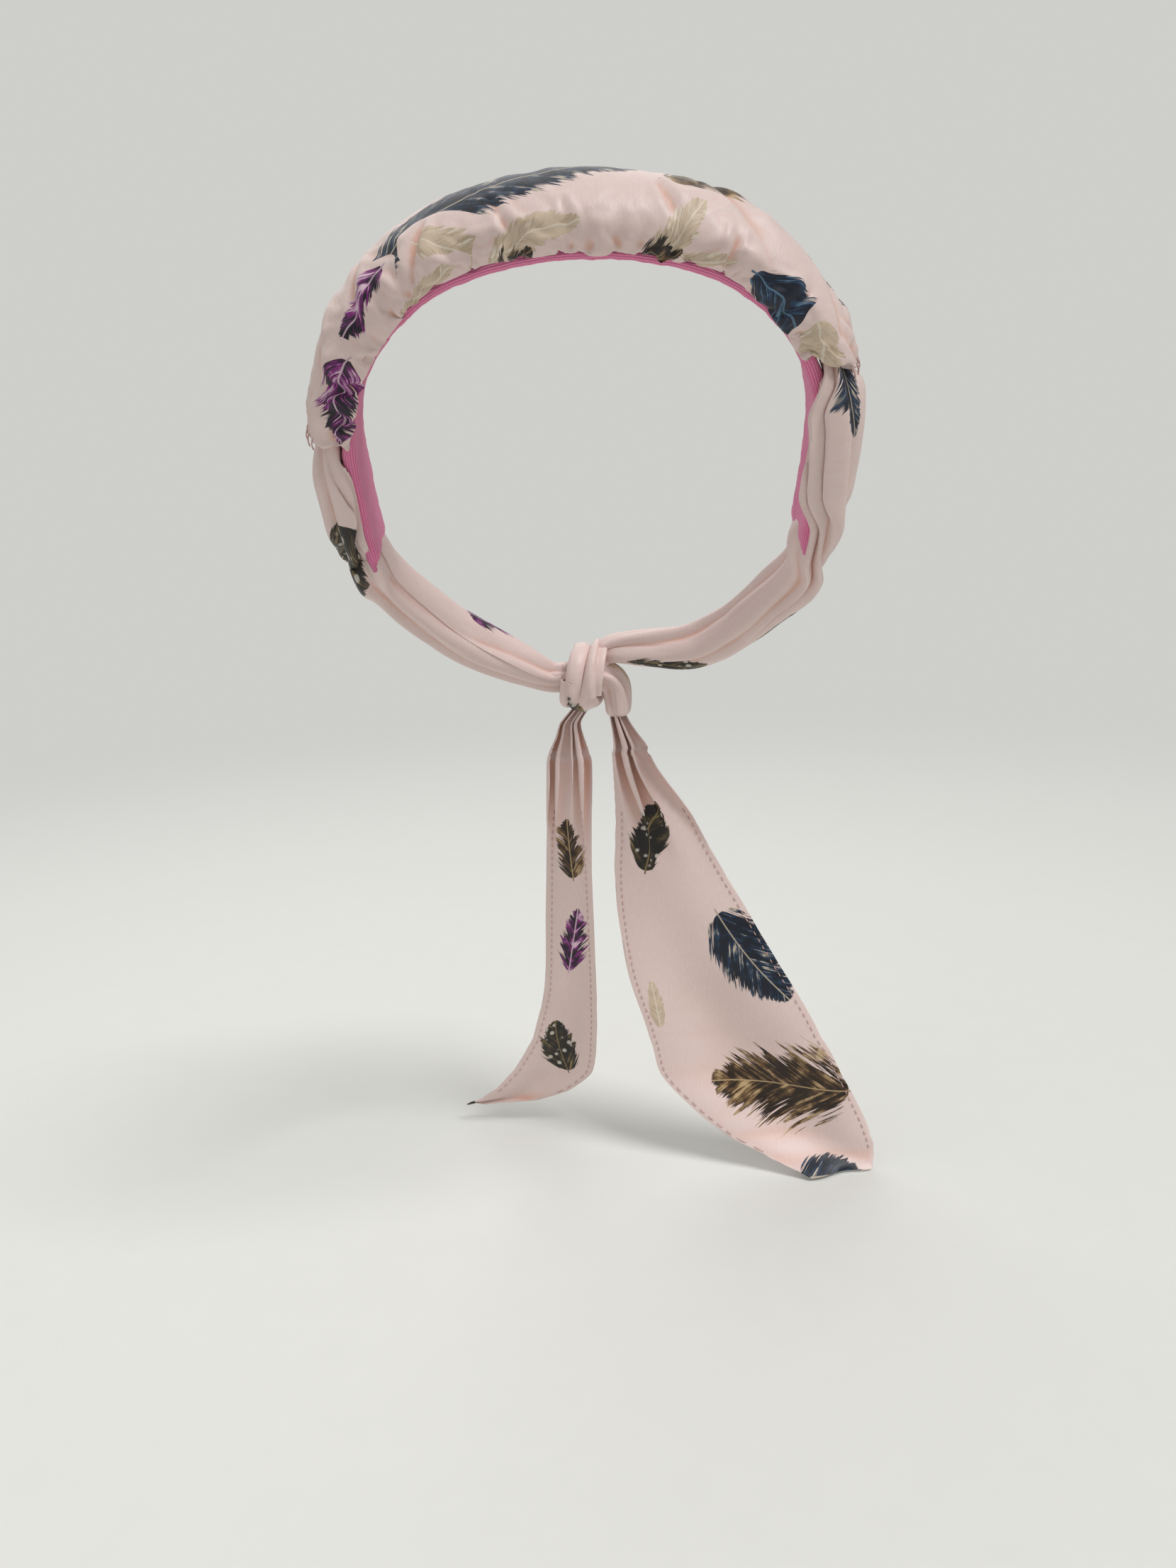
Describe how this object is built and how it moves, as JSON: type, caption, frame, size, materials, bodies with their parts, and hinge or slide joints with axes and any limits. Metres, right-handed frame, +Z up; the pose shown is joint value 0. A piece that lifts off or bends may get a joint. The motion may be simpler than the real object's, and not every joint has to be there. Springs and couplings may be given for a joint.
{
  "type": "knotted headband",
  "caption": "Padded, gathered satin headband on a jersey-covered elastic band, tied in a knot at the nape with two hanging tails.",
  "frame": {"origin": "middle of the head that the band is worn on, level with the widest part of the head, midway between the temples", "axes": "+Z up through the crown, -Y towards the face, +Y towards the nape where the knot is, +X to the wearer's left"},
  "size_m": [0.2192, 0.1906, 0.4079],
  "materials": {
    "printed_satin": "pale blush satin with a scattered feather print",
    "pink_jersey": "bright pink fine-rib knit",
    "elastic": "white braided elastic",
    "wadding": "white polyester wadding",
    "thread": "pink sewing thread"
  },
  "bodies": {
    "headband": {"band_elastic": "elastic", "band_cover": "pink_jersey", "crown_wadding": "wadding", "crown_panel": "printed_satin", "front_gather_stitches": "thread", "back_gather_stitches": "thread", "knot_wrap": "printed_satin", "knot_core": "printed_satin", "left_tie": "printed_satin", "left_side_stitches": "thread", "right_tie": "printed_satin", "right_side_stitches": "thread"},
    "left_neck": {"left_tail_neck": "printed_satin"},
    "left_hanging_tail": {"left_tail": "printed_satin", "left_tail_hem_thread": "thread"},
    "right_neck": {"right_tail_neck": "printed_satin"},
    "right_hanging_tail": {"right_tail": "printed_satin", "right_tail_hem_thread": "thread"}
  },
  "joints": [
    {"name": "left_tail_splay", "type": "hinge", "parent": "headband", "child": "left_neck", "pos_m": [0.0105, 0.0945, -0.1025], "axis": [0, -1, 0], "range_deg": [0, 25]},
    {"name": "left_tail_swing", "type": "hinge", "parent": "left_neck", "child": "left_hanging_tail", "pos_m": [0.01481, 0.0945, -0.11987], "axis": [1, 0, 0], "range_deg": [-10, 75]},
    {"name": "right_tail_splay", "type": "hinge", "parent": "headband", "child": "right_neck", "pos_m": [-0.011, 0.0955, -0.1045], "axis": [0, 1, 0], "range_deg": [0, 25]},
    {"name": "right_tail_swing", "type": "hinge", "parent": "right_neck", "child": "right_hanging_tail", "pos_m": [-0.01249, 0.09625, -0.12241], "axis": [1, 0, 0], "range_deg": [-10, 75]}
  ]
}
